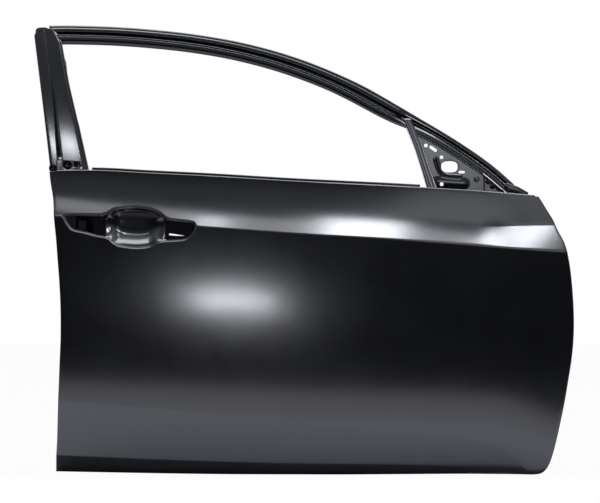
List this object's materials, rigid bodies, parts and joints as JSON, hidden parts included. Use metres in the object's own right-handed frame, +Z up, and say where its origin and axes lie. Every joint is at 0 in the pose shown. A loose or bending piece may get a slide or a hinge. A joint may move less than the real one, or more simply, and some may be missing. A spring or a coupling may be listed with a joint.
{
  "type": "car door shell",
  "caption": "Bare pressed-steel front right-hand saloon car door shell in black electro-coat primer, with window frame, handle recess and inner panel.",
  "frame": {"origin": "centre of the lower hinge's seat on the outer face of the inner panel's front wall", "axes": "+X forwards out of the hinge wall, +Y inwards to the cabin, +Z up"},
  "size_m": [1.1635, 0.1695, 0.9729],
  "materials": {
    "black_primer": "satin electro-coat primer on pressed steel",
    "zinc_plating": "dull zinc plating",
    "mastic": "matt expanded mastic"
  },
  "bodies": {
    "root": {"outer_panel": "black_primer", "inner_panel": "black_primer", "header_sash": "black_primer", "header_inner": "black_primer", "rear_sash": "black_primer", "rear_sash_inner": "black_primer", "division_sash": "black_primer", "rear_run_channel": "black_primer", "mirror_plate": "black_primer", "tip_cap": "black_primer", "belt_outer": "black_primer", "belt_inner": "black_primer", "impact_beam": "black_primer", "beam_bracket_rear": "black_primer", "beam_bracket_front": "black_primer", "hinge_plate_lower": "black_primer", "hinge_plate_upper": "black_primer", "hinge_nut_1": "zinc_plating", "hinge_nut_2": "zinc_plating", "hinge_nut_3": "zinc_plating", "hinge_nut_4": "zinc_plating", "latch_plate": "black_primer", "check_plate": "black_primer", "skin_stiffener": "black_primer", "mastic_pad_1": "mastic", "mastic_pad_2": "mastic", "mastic_pad_3": "mastic", "handle_bracket": "black_primer", "front_run_bracket": "black_primer"}
  },
  "joints": []
}
